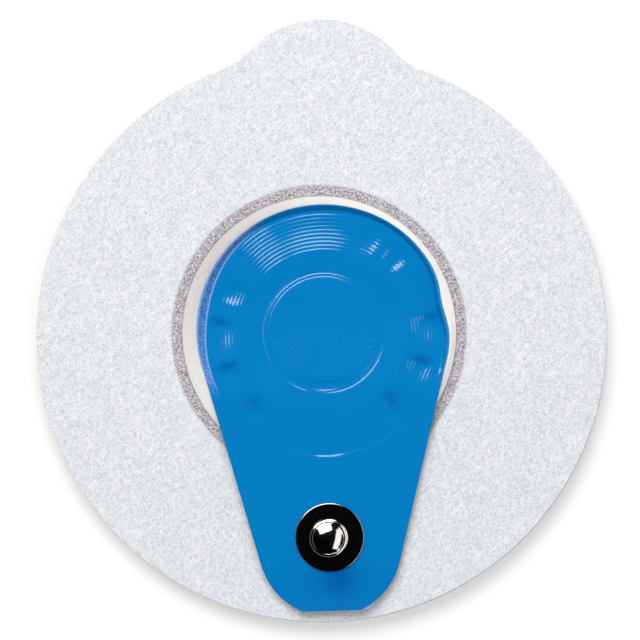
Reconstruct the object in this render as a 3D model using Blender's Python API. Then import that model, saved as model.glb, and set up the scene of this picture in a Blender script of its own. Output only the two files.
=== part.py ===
"""Offset snap ECG electrode on its release liner.

Metres, +Z up. The origin is the centre of the tape disc, on the flat foot of the liner's dome.
The lift tab points along +Y and the snap tongue along -Y. Angles are in degrees, counter-clockwise
from +X, except where a function takes radians.
"""

import math

import bmesh
import bpy
from mathutils import Vector

MM = 0.001
GAP = 0.02 * MM  # between two pieces that lie on each other
CLEARANCE = 0.05 * MM  # between two pieces side by side

# Centre of the cover: the sensor, its seat in the film, and the groove round the seat
SENSOR_RADIUS = 6.1 * MM
SENSOR_THICK = 0.3 * MM
SEAT_MARGIN = 0.2 * MM
SEAT_SLOPE = 0.45 * MM
SEAT_RISE = 0.1 * MM
SEAT_STEP = 0.08 * MM
STEP_RUN = 0.1 * MM
LEDGE_WIDTH = 0.35 * MM
GROOVE_WIDTH = 0.12 * MM
GROOVE_DEPTH = 0.2 * MM
GROOVE_WALL = 0.18 * MM

# Bellows: a smooth ring, the concentric ridges, then the wall up to the rim
SMOOTH_WIDTH = 2.22 * MM
RIDGE_COUNT = 10
RIDGE_PITCH = 0.45 * MM
FOOT_WIDTH = 0.3 * MM
RIDGE_HEIGHT = 0.08 * MM
RIDGE_LOWEST = 0.45  # share of the height that is left on the tongue's side
WELL_DEPTH = 0.7 * MM
WALL_RUN = 0.46 * MM
LIP_SHARE = 0.25  # of the wall's run

# The wall is flared at the back and on one side: angle, extra run and spread
FLARES = ((80.0, 0.26 * MM, 38.0), (170.0, 0.6 * MM, 22.0))

# The rim is dented on one side
DENT_ANGLE = 14.0
DENT_DEPTH = 0.58 * MM
DENT_SPREAD = 7.4

# Radial buckles in the ridges: angle and depth
BUCKLES = (
    (8.0, 0.27 * MM),
    (47.0, 0.2 * MM),
    (65.0, 0.14 * MM),
    (127.0, 0.12 * MM),
    (152.0, 0.24 * MM),
    (178.0, 0.28 * MM),
    (203.0, 0.28 * MM),
    (228.0, 0.26 * MM),
    (312.0, 0.26 * MM),
    (340.0, 0.28 * MM),
)
BUCKLE_SPREAD = 5.0

# The rings are laid down a little off the disc's centre
WELL_CENTRE = Vector((0.29 * MM, 0.32 * MM, 0.0))
SEAT_SHIFT = Vector((0.0, 0.2 * MM, 0.0))
RIM_CENTRE = Vector((0.22 * MM, 0.74 * MM, 0.0))
WELD_CENTRE = Vector((-0.28 * MM, 0.43 * MM, 0.0))

# Tongue
TONGUE_LEAN = 1.75
TONGUE_END_RADIUS = 8.55 * MM
TONGUE_END_SETBACK = 10.45 * MM  # from the rim to the centre of the rounded end
TIP_TRIM = 0.73 * MM  # cut straight off the rounded end
TIP_CURL = 0.4 * MM
TIP_CURL_LENGTH = 3.6 * MM
RECESS_STEP = 0.3 * MM  # from the tongue down to the smooth crescent at its root
BACKING_LAP = 2.9 * MM  # how far the lower film reaches inside the rim
RIM_RISE = (0.28, 0.74)  # where the rim starts and ends its rise to the tongue, as -sin of angle
TONGUE_CUTS = (0.2, 0.6, 1.0)  # shares of the way from the rim to the curl
CURL_CUTS = (0.4, 0.75)  # shares of the curl's length
COVER_THICK = 0.12 * MM
STRIP_THICK = 0.06 * MM
STRIP_MARGIN = 0.7 * MM  # beside the snap's post
STRIP_LAP = 3.0 * MM  # past the sensor's centre and past the snap's
BACKING_THICK = 0.08 * MM

# Snap
SNAP_SETBACK = 9.55 * MM  # from the rim to the snap
STUD_FLANGE_RADIUS = 4.1 * MM
EYELET_FLANGE_RADIUS = 3.6 * MM
FLANGE_THICK = 0.26 * MM
FLANGE_ROUND = 0.06 * MM
POST_RADIUS = 1.25 * MM
POST_CLEARANCE = 0.08 * MM
PUNCH_LENGTH = 4.0 * MM
STUD_WALL = 0.27 * MM
STUD_FOOT = 0.5 * MM
STUD_NECK_HEIGHT = 1.1 * MM
STUD_BELLY_HEIGHT = 2.0 * MM
STUD_HEIGHT = 2.95 * MM
STUD_HEAD_RADIUS = 2.1 * MM
STUD_HEAD_POWER = 2.6  # 2 makes the top a half ellipse, more makes it flatter
STUD_CROWN_RADIUS = 0.5 * MM  # of the flat in the middle of the head
FLARE_CLEARANCE = 0.15 * MM

# Tape disc and its lift tab
DISC_RADIUS = 34.0 * MM
TAB_RADIUS = 11.8 * MM
TAB_REACH = 3.85 * MM  # past the disc's circle
TAB_FILLET = 7.0 * MM
TAPE_THICK = 0.35 * MM
WELD_THICK = 0.12 * MM
WELD_WIDTH = 1.05 * MM
WELD_STEP = 0.1 * MM

# Support ring
RING_MARGIN = 1.27 * MM  # past the cover's rim
RING_HEIGHT = 1.1 * MM
RING_FLANGE_THICK = 0.12 * MM
RING_SHOULDER_RISE = 0.1 * MM
CONE_DROP = 0.18 * MM  # from the foot of the cover's wall to the foot of the ring's cone

# Gel sponge and release liner
SPONGE_LAP = 0.9 * MM  # past the sensor's edge
SPONGE_ROUND = 0.25 * MM
SENSOR_ROUND = 0.05 * MM
DOME_DEPTH = 2.0 * MM
DOME_MARGIN = 4.0 * MM  # from the sponge to the edge of the dome's foot
DOME_SLOPE = 1.2 * MM
LINER_THICK = 0.25 * MM
LINER_SHIFT = Vector((0.1 * MM, -0.1 * MM, 0.0))

# Smoothness of the round shapes
FILM_SIDES = 64
ROUND_SIDES = 72
SNAP_SIDES = 40
HEAD_ROWS = 5
DOME_ROWS = 4
EDGE_PARTS = 6
ARC_STEP = 6.0

# Radii that follow
SEAT_RADIUS = SENSOR_RADIUS + SEAT_MARGIN
LEDGE_RADIUS = SEAT_RADIUS + SEAT_SLOPE + STEP_RUN
GROOVE_RADIUS = LEDGE_RADIUS + LEDGE_WIDTH
GROOVE_END = GROOVE_RADIUS + STEP_RUN + GROOVE_WIDTH
SMOOTH_START = GROOVE_END + GROOVE_WALL
RIDGE_START = SMOOTH_START + SMOOTH_WIDTH
RIDGE_END = RIDGE_START + RIDGE_COUNT * RIDGE_PITCH
FOOT_RADIUS = RIDGE_END + FOOT_WIDTH
RIM_RADIUS = FOOT_RADIUS + WALL_RUN
RING_RADIUS = RIM_RADIUS + RING_MARGIN
RING_FLANGE_RADIUS = RING_RADIUS + WELD_WIDTH
HOLE_RADIUS = RING_RADIUS + CLEARANCE
SPONGE_RADIUS = SENSOR_RADIUS + SPONGE_LAP
DOME_FOOT_RADIUS = SPONGE_RADIUS + DOME_MARGIN
TONGUE_END_REACH = RIM_RADIUS + TONGUE_END_SETBACK
TONGUE_TIP_REACH = TONGUE_END_REACH + TONGUE_END_RADIUS - TIP_TRIM
SNAP_REACH = RIM_RADIUS + SNAP_SETBACK
STUD_NECK_RADIUS = POST_RADIUS + POST_CLEARANCE + STUD_WALL

# Heights that follow
SHEET_TOP = DOME_DEPTH + LINER_THICK
TAPE_BASE = SHEET_TOP + GAP
TAPE_TOP = TAPE_BASE + TAPE_THICK
WELD_BASE = TAPE_BASE + RING_FLANGE_THICK + GAP
WELD_TOP = WELD_BASE + WELD_THICK
RING_TOP = TAPE_BASE + RING_HEIGHT
STRIP_DROP = COVER_THICK + GAP
BACKING_DROP = STRIP_DROP + STRIP_THICK + GAP
FILM_STACK = BACKING_DROP + BACKING_THICK
RIM_LEVEL = RING_TOP + GAP + COVER_THICK
TONGUE_LEVEL = RING_TOP + GAP + FILM_STACK
FLOOR_LEVEL = RIM_LEVEL - WELL_DEPTH
SENSOR_TOP = FLOOR_LEVEL + SEAT_RISE - BACKING_DROP
SENSOR_BASE = SENSOR_TOP - SENSOR_THICK
STUD_BASE = TONGUE_LEVEL + GAP
EYELET_BASE = TONGUE_LEVEL - FILM_STACK - GAP - FLANGE_THICK

# Places that follow
SEAT_CENTRE = WELL_CENTRE + SEAT_SHIFT
TONGUE_ANGLE = math.radians(TONGUE_LEAN - 90.0)
TONGUE_AXIS = Vector((math.cos(TONGUE_ANGLE), math.sin(TONGUE_ANGLE), 0.0))
TONGUE_SIDE = Vector((-TONGUE_AXIS.y, TONGUE_AXIS.x, 0.0))
TONGUE_END = RIM_CENTRE + TONGUE_AXIS * TONGUE_END_REACH
SNAP_CENTRE = RIM_CENTRE + TONGUE_AXIS * SNAP_REACH
BACKING_EDGE = RIM_CENTRE + TONGUE_AXIS * (RIM_RADIUS - BACKING_LAP)
TANGENT_TURN = math.acos((RIM_RADIUS - TONGUE_END_RADIUS) / TONGUE_END_REACH)
TIP_TURN = math.acos((TONGUE_END_RADIUS - TIP_TRIM) / TONGUE_END_RADIUS)

# The seat's section: radius and height above the well's floor
SEAT_SECTION = (
    (0.0, SEAT_RISE),
    (SEAT_RADIUS / 2.0, SEAT_RISE),
    (SEAT_RADIUS, SEAT_RISE),
    (SEAT_RADIUS + SEAT_SLOPE, SEAT_RISE - SEAT_STEP),
    (LEDGE_RADIUS, -SEAT_STEP),
    (GROOVE_RADIUS, -SEAT_STEP),
    (GROOVE_RADIUS + STEP_RUN, -GROOVE_DEPTH),
    (GROOVE_END, -GROOVE_DEPTH),
    (SMOOTH_START, 0.0),
    (SMOOTH_START + SMOOTH_WIDTH / 2.0, 0.0),
    (RIDGE_START, 0.0),
)


def smooth(share):
    """Goes from 0 to 1 with level ends."""
    share = min(max(share, 0.0), 1.0)
    return share * share * (3.0 - 2.0 * share)


def bell(angle, centre, spread):
    """1 where an angle in radians is at a centre in degrees, and falling off on both sides."""
    away = (math.degrees(angle) - centre + 180.0) % 360.0 - 180.0
    return math.exp(-0.5 * (away / spread) ** 2)


def polar(centre, radius, angle, height=0.0):
    """The point at a radius and an angle in radians round a centre."""
    return centre + Vector((radius * math.cos(angle), radius * math.sin(angle), height))


def rim_circle_reach(angle):
    """Distance from the well's centre to the rim's circle."""
    offset = RIM_CENTRE - WELL_CENTRE
    along = offset.x * math.cos(angle) + offset.y * math.sin(angle)
    return along + math.sqrt(RIM_RADIUS**2 - offset.length_squared + along**2)


def rim_reach(angle):
    """Distance from the well's centre to the film's rim, dent included."""
    return rim_circle_reach(angle) - DENT_DEPTH * bell(angle, DENT_ANGLE, DENT_SPREAD)


def wall_run(angle):
    """How far the wall reaches inwards from the rim."""
    return WALL_RUN + sum(extra * bell(angle, at, spread) for at, extra, spread in FLARES)


def edge_level(angle):
    """Height of the rim, which rises where the tongue's films cross the support ring."""
    start, end = RIM_RISE
    towards_tongue = smooth((-math.sin(angle) - start) / (end - start))
    return RIM_LEVEL + (TONGUE_LEVEL - RIM_LEVEL) * towards_tongue


def past_backing_edge(point):
    """Distance past the lower film's straight edge, towards the tongue's tip."""
    return (point - BACKING_EDGE).dot(TONGUE_AXIS)


def floor_height(point):
    """Height of the well's floor, which lifts towards the tongue."""
    rise = TONGUE_LEVEL - RECESS_STEP - FLOOR_LEVEL
    run = RIM_RADIUS - BACKING_LAP - SMOOTH_START
    return FLOOR_LEVEL + rise * smooth(1.0 + past_backing_edge(point) / run)


def seat_height(radius):
    """Height above the floor of the seat, its ledge and its groove."""
    for (near, low), (far, high) in zip(SEAT_SECTION, SEAT_SECTION[1:]):
        if radius <= far:
            return low + (high - low) * (radius - near) / (far - near)
    return 0.0


def ridge_height(blank, angle, point):
    """Height above the floor, at a radius of the flat blank between the seat and the wall."""
    share = (blank - RIDGE_START) / (FOOT_RADIUS - RIDGE_START)
    turn = min((blank - RIDGE_START) / RIDGE_PITCH, RIDGE_COUNT)
    wave = 0.5 - 0.5 * math.cos(math.tau * turn)
    held = smooth(-past_backing_edge(point) / RIDGE_PITCH)
    held *= RIDGE_LOWEST + (1.0 - RIDGE_LOWEST) * (1.0 + math.sin(angle)) / 2.0
    dip = sum(depth * bell(angle, at, BUCKLE_SPREAD) for at, depth in BUCKLES)
    return RIDGE_HEIGHT * wave * held - dip * math.sin(math.pi * share) ** 2


def formed(blank, angle):
    """Where a point of the flat round blank lies on the formed film."""
    rim = rim_reach(angle)
    foot = rim - wall_run(angle)
    if blank <= RIDGE_START:
        place = polar(WELL_CENTRE, blank, angle)
        place += SEAT_SHIFT * smooth((RIDGE_START - blank) / SMOOTH_WIDTH)
        return place + Vector((0.0, 0.0, floor_height(place) + seat_height(blank)))
    if blank <= FOOT_RADIUS:
        share = (blank - RIDGE_START) / (FOOT_RADIUS - RIDGE_START)
        place = polar(WELL_CENTRE, RIDGE_START + share * (foot - RIDGE_START), angle)
        return place + Vector((0.0, 0.0, floor_height(place) + ridge_height(blank, angle, place)))
    share = (blank - FOOT_RADIUS) / (RIM_RADIUS - FOOT_RADIUS)
    place = polar(WELL_CENTRE, foot + share * (rim - foot), angle)
    low = floor_height(place)
    climb = min(1.0, share / (1.0 - LIP_SHARE))
    return place + Vector((0.0, 0.0, low + (edge_level(angle) - low) * climb))


def tongue_height(point):
    """Height of the tongue, whose tip lifts a little."""
    angle = math.atan2(point.y - WELL_CENTRE.y, point.x - WELL_CENTRE.x)
    along = (point - RIM_CENTRE).dot(TONGUE_AXIS)
    curled = max(0.0, (along - TONGUE_TIP_REACH) / TIP_CURL_LENGTH + 1.0)
    return edge_level(angle) + TIP_CURL * curled**2


def arc(centre, radius, start, end):
    """Points along an arc, both ends included."""
    parts = max(2, round(abs(math.degrees(end - start)) / ARC_STEP))
    return [polar(centre, radius, start + (end - start) * i / parts) for i in range(parts + 1)]


def circle(centre, radius, height, sides=ROUND_SIDES):
    """Points round a circle."""
    return [polar(centre, radius, math.tau * i / sides, height) for i in range(sides)]


def tongue_outline():
    """The tongue's edge, from the rim's right side round the tip to its left side."""
    halves = []
    for turn in (1.0, -1.0):
        normal = TONGUE_ANGLE + turn * TANGENT_TURN
        start = polar(RIM_CENTRE, RIM_RADIUS, normal)
        end = polar(TONGUE_END, TONGUE_END_RADIUS, normal)
        side = [start.lerp(end, i / EDGE_PARTS) for i in range(1, EDGE_PARTS)]
        rounded = arc(TONGUE_END, TONGUE_END_RADIUS, normal, TONGUE_ANGLE + turn * TIP_TURN)
        halves.append(side + rounded)
    return halves[0] + halves[1][::-1]


def disc_outline(height, shift=Vector()):
    """The disc's edge with its lift tab, which blends into the circle through two fillets."""
    tab_centre = Vector((0.0, DISC_RADIUS + TAB_REACH - TAB_RADIUS, 0.0))
    far = DISC_RADIUS + TAB_FILLET
    near = TAB_RADIUS + TAB_FILLET
    lean = math.acos((far**2 + tab_centre.y**2 - near**2) / (2.0 * far * tab_centre.y))
    right = Vector((far * math.sin(lean), far * math.cos(lean), 0.0))
    left = Vector((-right.x, right.y, 0.0))
    tab_angle = math.atan2(right.y - tab_centre.y, right.x)
    disc_angle = math.pi / 2.0 - lean
    points = arc(Vector(), DISC_RADIUS, math.pi - disc_angle, math.tau + disc_angle)
    points += arc(right, TAB_FILLET, math.pi + disc_angle, math.pi + tab_angle)[1:-1]
    points += arc(tab_centre, TAB_RADIUS, tab_angle, math.pi - tab_angle)
    points += arc(left, TAB_FILLET, -tab_angle, -disc_angle)[1:-1]
    return [point + shift + Vector((0.0, 0.0, height)) for point in points]


def material(name, colour, roughness, metallic=0.0, alpha=1.0):
    """A plain finish."""
    made = bpy.data.materials.new(name)
    made.use_nodes = True
    shader = made.node_tree.nodes["Principled BSDF"]
    shader.inputs["Base Color"].default_value = (*colour, 1.0)
    shader.inputs["Roughness"].default_value = roughness
    shader.inputs["Metallic"].default_value = metallic
    shader.inputs["Alpha"].default_value = alpha
    return made


def finished(bm, name, finish, parent, place=Vector()):
    """Turns a bmesh into a named object with its finish, shaded smooth."""
    bmesh.ops.recalc_face_normals(bm, faces=bm.faces)
    mesh = bpy.data.meshes.new(name)
    bm.to_mesh(mesh)
    bm.free()
    mesh.shade_smooth()
    mesh.set_sharp_from_angle(angle=math.radians(35.0))
    mesh.materials.append(finish)
    made = bpy.data.objects.new(name, mesh)
    made.location = place
    made.parent = parent
    bpy.context.scene.collection.objects.link(made)
    return made


def loop(bm, points):
    """Corners of a closed loop."""
    return [bm.verts.new(point) for point in points]


def loop_edges(bm, corners):
    """The edges of a closed loop, made where they are missing."""
    pairs = zip(corners, corners[1:] + corners[:1])
    return [bm.edges.get(pair) or bm.edges.new(pair) for pair in pairs]


def wall(bm, loops):
    """Faces between loops of as many corners, from each loop to the next."""
    for near, far in zip(loops, loops[1:]):
        for i in range(len(near)):
            bm.faces.new((near[i - 1], near[i], far[i], far[i - 1]))


def fill(bm, outer, inner):
    """A flat face with a hole, as triangles."""
    edges = loop_edges(bm, outer) + loop_edges(bm, inner)
    bmesh.ops.triangle_fill(bm, use_beauty=True, edges=edges)


def thicken(bm, thick):
    """Makes an open sheet a closed one that reaches thick further down."""
    faces = bm.faces[:]
    extruded = bmesh.ops.extrude_face_region(bm, geom=faces, use_keep_orig=True)["geom"]
    moved = [part for part in extruded if isinstance(part, bmesh.types.BMVert)]
    bmesh.ops.translate(bm, verts=moved, vec=(0.0, 0.0, -thick))


def turned(bm, section, sides):
    """Turns a section round the axis. Sections that start and end on it give a closed solid."""
    corners = [bm.verts.new((radius, 0.0, height)) for radius, height in section]
    edges = [bm.edges.new(pair) for pair in zip(corners, corners[1:])]
    bmesh.ops.spin(
        bm,
        geom=corners + edges,
        cent=(0.0, 0.0, 0.0),
        axis=(0.0, 0.0, 1.0),
        angle=math.tau,
        steps=sides,
        use_merge=True,
    )
    bmesh.ops.remove_doubles(bm, verts=bm.verts, dist=GAP / 10.0)


def add_tongue(bm):
    """Joins the tongue to the side of the rim that faces it."""

    def turn(vertex):
        """Angle from the tongue's axis, round the rim's centre."""
        away = vertex.co - RIM_CENTRE
        return math.atan2(away.dot(TONGUE_SIDE), away.dot(TONGUE_AXIS))

    well = set(bm.faces)
    rim = sorted((corner for corner in bm.verts if corner.is_boundary), key=turn)
    facing = [corner for corner in rim if abs(turn(corner)) < TANGENT_TURN]
    right = next(corner for corner in rim if turn(corner) >= TANGENT_TURN)
    left = next(corner for corner in reversed(rim) if turn(corner) <= -TANGENT_TURN)
    edge = [bm.verts.new(point) for point in tongue_outline()]
    bm.faces.new([right] + edge + [left] + facing)
    curl_start = TONGUE_TIP_REACH - TIP_CURL_LENGTH
    cuts = [RIM_RADIUS + (curl_start - RIM_RADIUS) * share for share in TONGUE_CUTS]
    cuts += [curl_start + TIP_CURL_LENGTH * share for share in CURL_CUTS]
    for reach in cuts:
        tongue = [face for face in bm.faces if face not in well]
        parts = {part for face in tongue for part in (*face.verts, *face.edges)}
        place = RIM_CENTRE + TONGUE_AXIS * reach
        bmesh.ops.bisect_plane(
            bm, geom=[*parts, *tongue], dist=GAP, plane_co=place, plane_no=TONGUE_AXIS
        )
    facing_or_edge = {part for face in bm.faces if face not in well for part in face.verts}
    for corner in facing_or_edge - set(rim):
        corner.co.z = tongue_height(corner.co)


def film(thick, drop, cuts=()):
    """One film of the stack: the cover's surface lowered by drop and cut off past some planes."""
    radii = [radius for radius, height in SEAT_SECTION]
    radii += [RIDGE_START + RIDGE_PITCH * i / 2.0 for i in range(1, 2 * RIDGE_COUNT + 1)]
    radii += [FOOT_RADIUS, RIM_RADIUS - LIP_SHARE * WALL_RUN, RIM_RADIUS]
    bm = bmesh.new()
    turned(bm, [(radius, 0.0) for radius in radii], FILM_SIDES)
    for corner in bm.verts:
        corner.co = formed(corner.co.xy.length, math.atan2(corner.co.y, corner.co.x))
    add_tongue(bm)
    bmesh.ops.triangulate(bm, faces=bm.faces)
    for place, outwards in cuts:
        everything = bm.verts[:] + bm.edges[:] + bm.faces[:]
        bmesh.ops.bisect_plane(
            bm, geom=everything, dist=GAP, plane_co=place, plane_no=outwards, clear_outer=True
        )
    bmesh.ops.translate(bm, verts=bm.verts, vec=(0.0, 0.0, -drop))
    thicken(bm, thick)
    return bm


def make_post_cutter(parent):
    """The punch for the post's hole in the films."""
    bm = bmesh.new()
    radius = POST_RADIUS + POST_CLEARANCE
    bmesh.ops.create_cone(
        bm,
        cap_ends=True,
        segments=SNAP_SIDES,
        radius1=radius,
        radius2=radius,
        depth=PUNCH_LENGTH,
    )
    place = SNAP_CENTRE + Vector((0.0, 0.0, TONGUE_LEVEL))
    cutter = finished(bm, "post_punch", None, parent, place)
    cutter.hide_render = True
    cutter.display_type = "WIRE"
    return cutter


def punch(piece, cutter):
    """Cuts the post's hole through a film."""
    cut = piece.modifiers.new("post hole", "BOOLEAN")
    cut.operation = "DIFFERENCE"
    cut.object = cutter


def make_films(parent):
    """The blue cover, the conductor under it and the tongue's lower film."""
    cutter = make_post_cutter(parent)
    blue = material("blue film", (0.0, 0.2, 0.56), 0.3)
    clear = material("lower film", (0.55, 0.68, 0.78), 0.35)
    carbon = material("conductor", (0.04, 0.04, 0.045), 0.6)
    width = POST_RADIUS + POST_CLEARANCE + STRIP_MARGIN
    strip_cuts = (
        (RIM_CENTRE + TONGUE_SIDE * width, TONGUE_SIDE),
        (RIM_CENTRE - TONGUE_SIDE * width, -TONGUE_SIDE),
        (SEAT_CENTRE - TONGUE_AXIS * STRIP_LAP, -TONGUE_AXIS),
        (SNAP_CENTRE + TONGUE_AXIS * STRIP_LAP, TONGUE_AXIS),
    )
    backing_cuts = ((BACKING_EDGE, -TONGUE_AXIS),)
    punch(finished(film(COVER_THICK, 0.0), "bellows_cover", blue, parent), cutter)
    strip = film(STRIP_THICK, STRIP_DROP, strip_cuts)
    punch(finished(strip, "lead_strip", carbon, parent), cutter)
    backing = film(BACKING_THICK, BACKING_DROP, backing_cuts)
    punch(finished(backing, "tongue_backing", clear, parent), cutter)


def make_backing_disc(parent):
    """The tape disc, pressed thin where it is welded over the ring's flange."""
    weld_end = RING_FLANGE_RADIUS + CLEARANCE
    bm = bmesh.new()
    outer_top = loop(bm, disc_outline(TAPE_TOP))
    outer_base = loop(bm, disc_outline(TAPE_BASE))
    inner = [
        loop(bm, circle(WELD_CENTRE, weld_end + WELD_STEP, TAPE_TOP)),
        loop(bm, circle(WELD_CENTRE, weld_end, WELD_TOP)),
        loop(bm, circle(WELD_CENTRE, HOLE_RADIUS, WELD_TOP)),
        loop(bm, circle(WELD_CENTRE, HOLE_RADIUS, WELD_BASE)),
        loop(bm, circle(WELD_CENTRE, weld_end, WELD_BASE)),
        loop(bm, circle(WELD_CENTRE, weld_end, TAPE_BASE)),
    ]
    wall(bm, inner)
    wall(bm, [outer_top, outer_base])
    fill(bm, outer_top, inner[0])
    fill(bm, outer_base, inner[-1])
    white = material("nonwoven tape", (0.8, 0.82, 0.85), 0.85)
    finished(bm, "backing_disc", white, parent)


def make_support_ring(parent):
    """The cream ring: a flange under the tape, a shoulder, and a cone that the cover's wall lies in."""

    def cone_foot(height):
        """Loop just outside the foot of the cover's wall."""
        points = []
        for i in range(ROUND_SIDES):
            angle = math.tau * i / ROUND_SIDES
            reach = rim_circle_reach(angle) - wall_run(angle) + CLEARANCE
            points.append(polar(WELL_CENTRE, reach, angle, height))
        return points

    crest_radius = RIM_RADIUS + CLEARANCE
    middle = (WELD_CENTRE + RIM_CENTRE) / 2.0
    shoulder_radius = (RING_RADIUS + crest_radius) / 2.0
    shoulder = (TAPE_TOP + RING_TOP) / 2.0 + RING_SHOULDER_RISE
    bm = bmesh.new()
    loops = [
        loop(bm, circle(WELD_CENTRE, RING_FLANGE_RADIUS, TAPE_BASE)),
        loop(bm, circle(WELD_CENTRE, RING_FLANGE_RADIUS, TAPE_BASE + RING_FLANGE_THICK)),
        loop(bm, circle(WELD_CENTRE, RING_RADIUS, TAPE_BASE + RING_FLANGE_THICK)),
        loop(bm, circle(WELD_CENTRE, RING_RADIUS, TAPE_TOP)),
        loop(bm, circle(middle, shoulder_radius, shoulder)),
        loop(bm, circle(RIM_CENTRE, crest_radius, RING_TOP)),
        loop(bm, cone_foot(FLOOR_LEVEL - COVER_THICK - CONE_DROP)),
        loop(bm, cone_foot(TAPE_BASE)),
    ]
    wall(bm, loops + loops[:1])
    cream = material("cream plastic", (0.78, 0.75, 0.68), 0.5)
    finished(bm, "support_ring", cream, parent)


def make_release_liner(parent):
    """The clear carrier sheet, with the dome that the gel sponge stands in."""
    mouth = DOME_FOOT_RADIUS + DOME_SLOPE
    bm = bmesh.new()
    edge = loop(bm, disc_outline(SHEET_TOP, LINER_SHIFT))
    rows = []
    for i in range(DOME_ROWS + 1):
        share = i / DOME_ROWS
        height = SHEET_TOP - DOME_DEPTH * smooth(share)
        rows.append(loop(bm, circle(Vector(), mouth - DOME_SLOPE * share, height)))
    wall(bm, rows)
    bm.faces.new(rows[-1])
    fill(bm, edge, rows[0])
    thicken(bm, LINER_THICK)
    clear = material("clear liner", (0.8, 0.86, 0.88), 0.15, alpha=0.35)
    finished(bm, "release_liner", clear, parent)


def make_pad(name, radius, base, top, edge_round, finish, parent):
    """A round pad under the cover's seat, its edges rounded."""
    bm = bmesh.new()
    bmesh.ops.create_cone(
        bm, cap_ends=True, segments=ROUND_SIDES, radius1=radius, radius2=radius, depth=top - base
    )
    rims = [edge for edge in bm.edges if abs(edge.verts[0].co.z - edge.verts[1].co.z) < GAP]
    bmesh.ops.bevel(bm, geom=rims, offset=edge_round, segments=2, profile=0.5, affect="EDGES")
    finished(bm, name, finish, parent, SEAT_CENTRE + Vector((0.0, 0.0, (base + top) / 2.0)))


def make_gel_parts(parent):
    """The sensor and the wet sponge that joins it to the skin."""
    silver = material("silver chloride", (0.35, 0.34, 0.36), 0.55)
    sponge = material("gel sponge", (0.75, 0.78, 0.74), 0.7)
    floor = LINER_THICK + GAP
    make_pad("sensor_disc", SENSOR_RADIUS, SENSOR_BASE, SENSOR_TOP, SENSOR_ROUND, silver, parent)
    make_pad("gel_sponge", SPONGE_RADIUS, floor, SENSOR_BASE - GAP, SPONGE_ROUND, sponge, parent)


def head_section(neck, head, top):
    """Half section of the snap's head, from the neck's top to the axis at its flat crown."""
    section = []
    for i in range(HEAD_ROWS + 1):
        share = i / HEAD_ROWS
        height = STUD_NECK_HEIGHT + (STUD_BELLY_HEIGHT - STUD_NECK_HEIGHT) * share
        section.append((neck + (head - neck) * smooth(share), height))
    for i in range(1, HEAD_ROWS):
        turn = math.pi / 2.0 * i / HEAD_ROWS
        across = math.cos(turn) ** (2.0 / STUD_HEAD_POWER)
        up = math.sin(turn) ** (2.0 / STUD_HEAD_POWER)
        section.append((head * across, STUD_BELLY_HEIGHT + (top - STUD_BELLY_HEIGHT) * up))
    return section + [(STUD_CROWN_RADIUS, top), (0.0, top)]


def flange_edge(radius):
    """The rounded edge of a snap's flange, from its underside to its top."""
    return [
        (radius - FLANGE_ROUND, 0.0),
        (radius, FLANGE_ROUND),
        (radius, FLANGE_THICK - FLANGE_ROUND),
        (radius - FLANGE_ROUND, FLANGE_THICK),
    ]


def make_snap_stud(parent, nickel):
    """The upper half of the snap, drawn from sheet: a flange and a hollow head."""
    neck = STUD_NECK_RADIUS
    hollow = neck - STUD_WALL
    foot = [(neck + STUD_FOOT, FLANGE_THICK), (neck + STUD_FOOT / 4.0, FLANGE_THICK + STUD_FOOT / 4.0)]
    neck_start = [(neck, FLANGE_THICK + STUD_FOOT)]
    outside = head_section(neck, STUD_HEAD_RADIUS, STUD_HEIGHT)
    inside = head_section(hollow, STUD_HEAD_RADIUS - STUD_WALL, STUD_HEIGHT - STUD_WALL)
    section = inside[::-1] + [(hollow, 0.0)] + flange_edge(STUD_FLANGE_RADIUS) + foot
    bm = bmesh.new()
    turned(bm, section + neck_start + outside, SNAP_SIDES)
    finished(bm, "snap_stud", nickel, parent, SNAP_CENTRE + Vector((0.0, 0.0, STUD_BASE)))


def make_snap_eyelet(parent, nickel):
    """The lower half: a flange, and a post riveted over inside the stud's head."""
    to_stud = STUD_BASE - EYELET_BASE
    flare = STUD_HEAD_RADIUS - STUD_WALL - FLARE_CLEARANCE
    section = [(0.0, 0.0)] + flange_edge(EYELET_FLANGE_RADIUS)
    section += [
        (POST_RADIUS, FLANGE_THICK),
        (POST_RADIUS, to_stud + STUD_NECK_HEIGHT),
        (flare, to_stud + STUD_BELLY_HEIGHT - FLARE_CLEARANCE),
        (flare, to_stud + STUD_BELLY_HEIGHT),
        (0.0, to_stud + STUD_BELLY_HEIGHT),
    ]
    bm = bmesh.new()
    turned(bm, section, SNAP_SIDES)
    finished(bm, "snap_eyelet", nickel, parent, SNAP_CENTRE + Vector((0.0, 0.0, EYELET_BASE)))


def clear_scene():
    """Removes what the scene starts with."""
    for old in list(bpy.data.objects):
        bpy.data.objects.remove(old)


def main():
    """Builds the electrode."""
    clear_scene()
    electrode = bpy.data.objects.new("electrode", None)
    bpy.context.scene.collection.objects.link(electrode)
    nickel = material("nickel plate", (0.62, 0.6, 0.57), 0.12, metallic=1.0)
    make_release_liner(electrode)
    make_backing_disc(electrode)
    make_support_ring(electrode)
    make_gel_parts(electrode)
    make_films(electrode)
    make_snap_eyelet(electrode, nickel)
    make_snap_stud(electrode, nickel)


main()
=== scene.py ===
# %% [markdown]
# # An offset snap ECG electrode
# A disposable ECG electrode is a stack of thin sheets: a nonwoven tape disc with adhesive under it,
# a moulded ring welded into its middle, and a blue film cover with fine rings pressed into it. The
# cover runs out into a tongue that carries the metal snap, so a pull on the lead wire flexes the
# rings and leaves the sensor alone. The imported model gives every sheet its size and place. This
# lesson gives each visible sheet its fine surface, and every piece its finish.

import math

import bmesh
import bpy
from mathutils import Matrix, Vector, noise


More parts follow.
